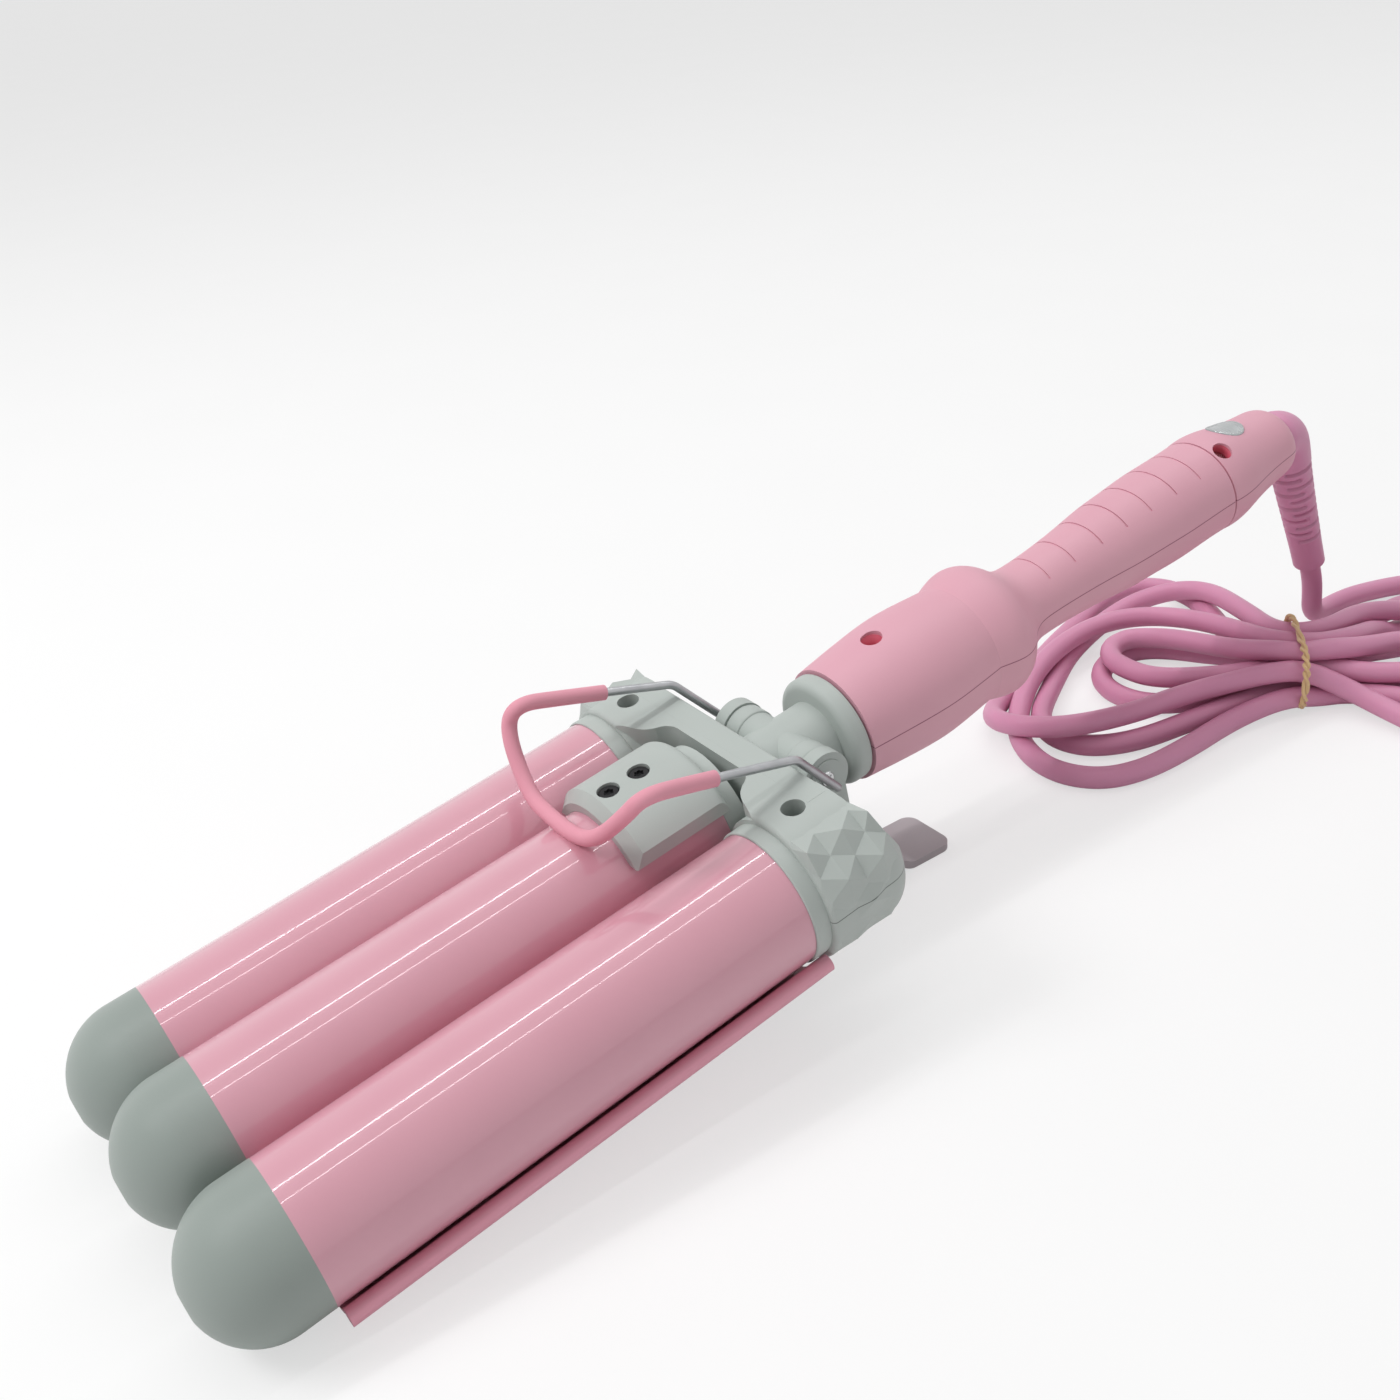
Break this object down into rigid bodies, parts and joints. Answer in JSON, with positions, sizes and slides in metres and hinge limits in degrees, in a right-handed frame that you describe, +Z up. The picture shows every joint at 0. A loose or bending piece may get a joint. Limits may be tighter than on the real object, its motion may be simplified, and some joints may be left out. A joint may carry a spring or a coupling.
{
  "type": "hair waver",
  "caption": "Triple-barrel hair waver with a spring jaw, wave plate, thumb lever, folding wire stand, grip handle and swivel cord tied in a hank.",
  "frame": {"origin": "middle of the lever pad's underside, on the table that the tool rests on", "axes": "+X from the barrels to the handle, +Z up, -Y the near barrel"},
  "size_m": [0.4563, 0.2181, 0.085],
  "materials": {
    "pink_barrel": "gloss ceramic-coated aluminium tube",
    "grey_plastic": "heat-resistant sage grey plastic, fine matte",
    "tip_grey": "darker sage grey plastic, matte",
    "pink_plastic": "soft-touch pink plastic",
    "pink_plate": "coated sheet",
    "lever_grey": "grey coated sheet",
    "steel_wire": "drawn wire",
    "silver_screw": "plated cross-head screw",
    "black_screw": "black oxide cross-head screw",
    "silver_badge": "plain silver disc",
    "pink_rubber": "satin flexible PVC",
    "sleeve_rubber": "pink silicone sleeve",
    "tie_rubber": "tan elastic",
    "pin_metal": "nickel-plated pins",
    "aluminium": "extruded",
    "ceramic": null,
    "board_green": "glass-epoxy board",
    "window": "dark clear window",
    "lead_rubber": "insulated lead",
    "button_grey": "moulded button"
  },
  "bodies": {
    "main": {"barrel_near": "pink_barrel", "barrel_far": "pink_barrel", "tip_near": "tip_grey", "tip_far": "tip_grey", "heat_spreader_near": "aluminium", "heat_spreader_far": "aluminium", "heater_near": "ceramic", "heater_far": "ceramic", "collar_near": "grey_plastic", "collar_far": "grey_plastic", "yoke_upper": "grey_plastic", "yoke_lower": "grey_plastic", "yoke_screws": "black_screw", "neck": "grey_plastic", "pivot_screws": "silver_screw", "closing_springs": "steel_wire", "handle_upper": "pink_plastic", "handle_lower": "pink_plastic", "handle_end": "pink_plastic", "handle_screws": "silver_screw", "badge": "silver_badge", "display_window": "window", "display_module": "board_green", "control_board": "board_green", "handle_leads": "lead_rubber", "swivel_contact_block": "ceramic"},
    "jaw": {"barrel_middle": "pink_barrel", "tip_middle": "tip_grey", "heat_spreader_middle": "aluminium", "heater_middle": "ceramic", "saddle": "grey_plastic", "saddle_screws": "black_screw", "jaw_frame": "grey_plastic", "wave_plate": "pink_plate", "lever": "lever_grey"},
    "stand": {"stand_wire": "steel_wire", "stand_sleeve": "sleeve_rubber"},
    "cord": {"strain_relief": "pink_rubber", "cord_lead": "pink_rubber", "cord_hank": "pink_rubber", "cord_tie": "tie_rubber", "cord_tail": "pink_rubber", "plug": "pink_rubber", "plug_pins": "pin_metal"},
    "minus_button": {"minus_button": "button_grey"},
    "power_button": {"power_button": "button_grey"},
    "plus_button": {"plus_button": "button_grey"}
  },
  "joints": [
    {"name": "jaw_open", "type": "hinge", "parent": "main", "child": "jaw", "pos_m": [-0.04222, 0, 0.0474], "axis": [0, -1, 0], "range_deg": [0, 25], "stiffness_Nm_per_rad": 0.6, "springref_deg": -45.84, "deforming": ["closing_springs"]},
    {"name": "stand_fold", "type": "hinge", "parent": "main", "child": "stand", "pos_m": [-0.04038, 0, 0.04486], "axis": [0, 1, 0], "range_deg": [0, 100]},
    {"name": "cord_swivel", "type": "hinge", "parent": "main", "child": "cord", "pos_m": [0.14281, 0, 0.07467], "axis": [0.9868, 0, 0.1617], "continuous": true},
    {"name": "minus_button_press", "type": "slide", "parent": "main", "child": "minus_button", "axis": [-0.1617, 0, 0.9868], "range_m": [0, 0.0005], "stiffness_N_per_m": 400, "springref_m": -0.0005},
    {"name": "power_button_press", "type": "slide", "parent": "main", "child": "power_button", "axis": [-0.1617, 0, 0.9868], "range_m": [0, 0.0005], "stiffness_N_per_m": 400, "springref_m": -0.0005},
    {"name": "plus_button_press", "type": "slide", "parent": "main", "child": "plus_button", "axis": [-0.1617, 0, 0.9868], "range_m": [0, 0.0005], "stiffness_N_per_m": 400, "springref_m": -0.0005}
  ]
}
